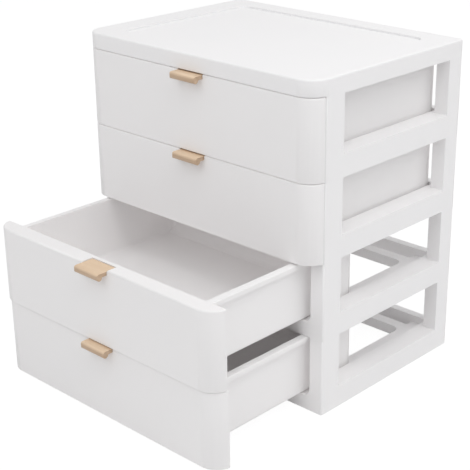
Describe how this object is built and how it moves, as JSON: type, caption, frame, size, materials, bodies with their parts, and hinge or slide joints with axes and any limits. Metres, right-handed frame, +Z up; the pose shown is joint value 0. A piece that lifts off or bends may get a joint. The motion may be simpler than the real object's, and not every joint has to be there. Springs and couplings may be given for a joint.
{
  "type": "desktop drawer cabinet",
  "caption": "Desktop cabinet of stacked open frames under a tray-topped cover, with sliding drawers whose rounded fronts overlap the frame and carry small wooden tab pulls.",
  "frame": {"origin": "on the table under the middle of the whole object as it stands, its lower two drawers drawn out", "axes": "+Z up, +Y from the drawer fronts to the rear, +X to the right as seen from the front"},
  "size_m": [0.25, 0.2976, 0.272],
  "materials": {
    "cabinet_plastic": "fine matte, moulded white",
    "drawer_plastic": "fine matte, moulded white",
    "handle_wood": "satin, light beech colour"
  },
  "bodies": {
    "cabinet": {"top_cover": "cabinet_plastic", "tier_frame_1": "cabinet_plastic", "tier_frame_2": "cabinet_plastic", "tier_frame_3": "cabinet_plastic", "tier_frame_4": "cabinet_plastic"},
    "drawer_1": {"drawer_1": "drawer_plastic", "handle_1": "handle_wood"},
    "drawer_2": {"drawer_2": "drawer_plastic", "handle_2": "handle_wood"},
    "drawer_3": {"drawer_3": "drawer_plastic", "handle_3": "handle_wood"},
    "drawer_4": {"drawer_4": "drawer_plastic", "handle_4": "handle_wood"}
  },
  "joints": [
    {"name": "drawer_1_slide", "type": "slide", "parent": "cabinet", "child": "drawer_1", "axis": [0, -1, 0], "range_m": [0, 0.105]},
    {"name": "drawer_2_slide", "type": "slide", "parent": "cabinet", "child": "drawer_2", "axis": [0, -1, 0], "range_m": [0, 0.105]},
    {"name": "drawer_3_slide", "type": "slide", "parent": "cabinet", "child": "drawer_3", "axis": [0, -1, 0], "range_m": [-0.103, 0.002]},
    {"name": "drawer_4_slide", "type": "slide", "parent": "cabinet", "child": "drawer_4", "axis": [0, -1, 0], "range_m": [-0.1015, 0.0035]}
  ]
}
